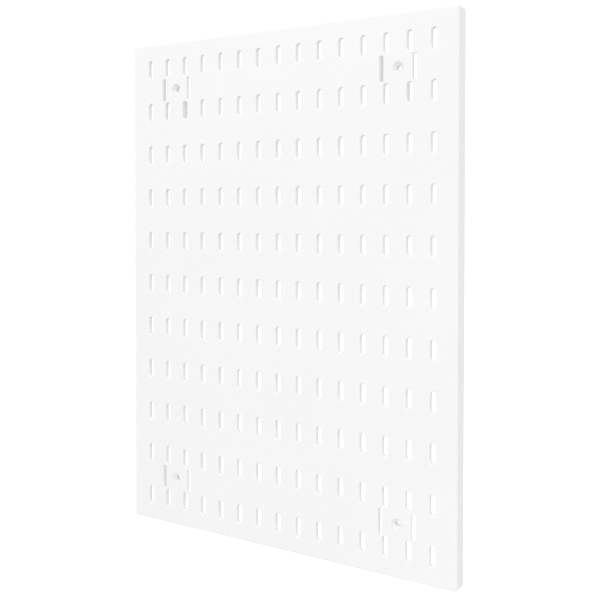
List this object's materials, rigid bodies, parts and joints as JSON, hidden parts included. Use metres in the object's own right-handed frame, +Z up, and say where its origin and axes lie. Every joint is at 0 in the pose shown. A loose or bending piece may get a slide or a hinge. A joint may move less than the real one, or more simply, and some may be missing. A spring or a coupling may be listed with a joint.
{
  "type": "wall pegboard",
  "caption": "Shallow moulded wall board with a grid of upright slots for tool hooks, hung on keyhole hangers behind its top screw points.",
  "frame": {"origin": "centre of the board on the wall plane, which is the plane of the rim's back edge", "axes": "+Y into the wall, so the front faces -Y; +Z up; +X to the right seen from the front"},
  "size_m": [0.384, 0.016, 0.535],
  "materials": {
    "panel_plastic": "satin moulded white",
    "hanger_plastic": "matt moulded white",
    "screw_steel": "zinc plated"
  },
  "bodies": {
    "root": {"pegboard_panel": "panel_plastic", "keyhole_hanger_left": "hanger_plastic", "keyhole_hanger_right": "hanger_plastic", "hanger_screws_left": "screw_steel", "hanger_screws_right": "screw_steel"}
  },
  "joints": []
}
